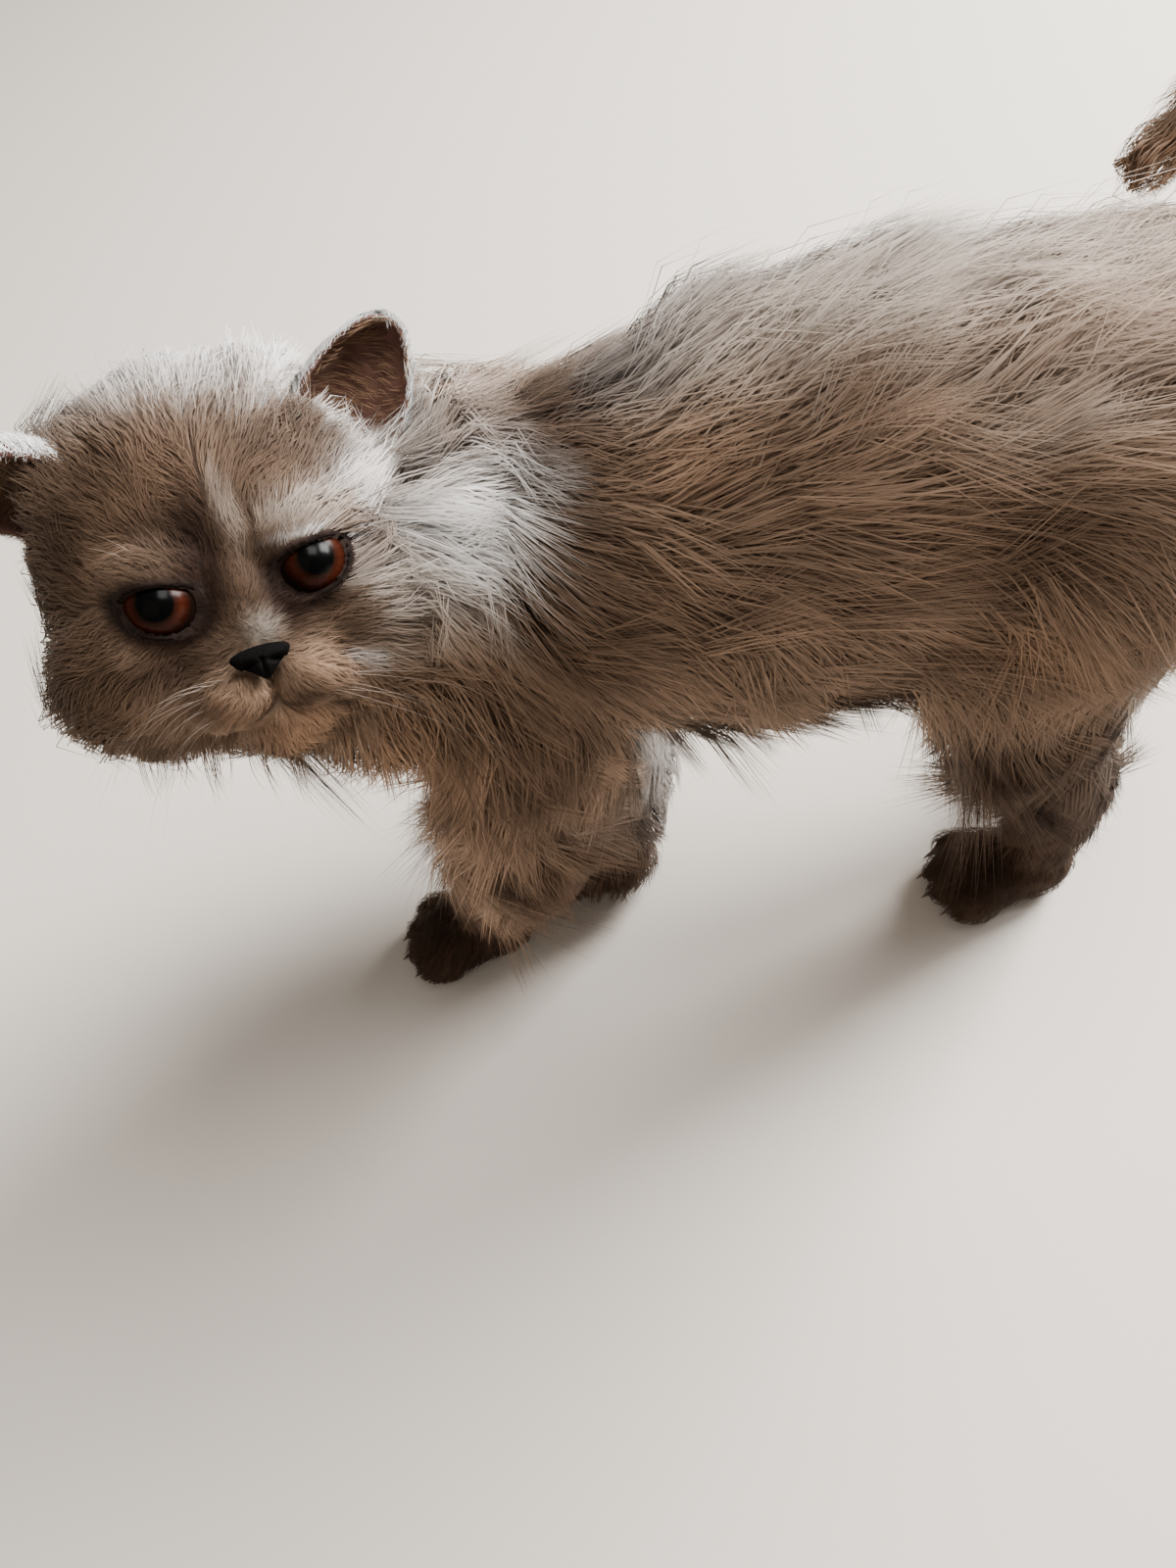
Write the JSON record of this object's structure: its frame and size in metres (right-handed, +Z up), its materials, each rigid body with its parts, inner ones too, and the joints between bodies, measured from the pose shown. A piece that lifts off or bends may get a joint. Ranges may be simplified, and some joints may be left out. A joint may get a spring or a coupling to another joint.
{
  "type": "persian cat",
  "caption": "Long-haired persian cat in mid-step, head turned to its left and raised, tail up and curled to its right, standing on all paws.",
  "frame": {"origin": "on the floor under the middle of the cat's bounding box", "axes": "-X is the way the cat walks, -Y is its left side, +Z is up"},
  "size_m": [0.4328, 0.1878, 0.2858],
  "materials": {
    "silver_fur": "long silky hair, silver white over grey",
    "smoke_fur": "long silky hair, smoke grey with brown",
    "brown_fur": "feathered hair, brown",
    "dark_fur": "short dense hair, nearly black brown",
    "ear_skin": "thin haired skin, reddish brown",
    "nose_leather": "moist black leather with fine pebbling",
    "eye": "clear wet cornea over a copper iris"
  },
  "bodies": {
    "root": {"eye_left": "eye", "eye_right": "eye", "nose": "nose_leather", "head": "silver_fur", "ear_left": "ear_skin", "ear_right": "ear_skin", "neck": "silver_fur", "torso": "smoke_fur", "tail_base": "smoke_fur", "tail_middle": "smoke_fur", "tail_tip": "dark_fur", "fore_left_upper": "smoke_fur", "fore_left_lower": "brown_fur", "fore_left_paw": "dark_fur", "fore_right_upper": "smoke_fur", "fore_right_lower": "brown_fur", "fore_right_paw": "dark_fur", "hind_left_upper": "smoke_fur", "hind_left_lower": "brown_fur", "hind_left_hock": "brown_fur", "hind_left_paw": "dark_fur", "hind_right_upper": "smoke_fur", "hind_right_lower": "brown_fur", "hind_right_hock": "brown_fur", "hind_right_paw": "dark_fur"}
  },
  "joints": []
}
